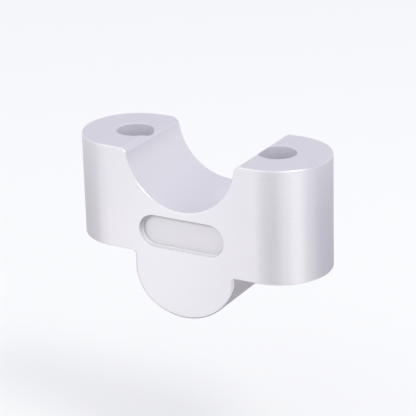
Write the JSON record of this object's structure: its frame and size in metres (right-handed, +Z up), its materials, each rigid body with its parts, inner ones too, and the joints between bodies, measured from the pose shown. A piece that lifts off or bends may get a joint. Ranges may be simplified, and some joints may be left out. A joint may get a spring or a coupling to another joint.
{
  "type": "motorcycle bar riser",
  "caption": "One-piece aluminium riser that sits in a motorcycle handlebar clamp and holds the bar higher, in a saddle between round bosses with long bolt holes.",
  "frame": {"origin": "on the axis of the lower lobe, which lies where the handlebar lay in the lower clamp, half way along the lobe", "axes": "+X across the clamp from the left bolt to the right bolt, with the deeper boss at +X; +Y along the handlebar, away from the face with the recess; +Z up, out of the open saddle"},
  "size_m": [0.0636, 0.025, 0.0402],
  "materials": {
    "satin_aluminium": "fine satin, clear anodised after milling"
  },
  "bodies": {
    "root": {"riser_body": "satin_aluminium"}
  },
  "joints": []
}
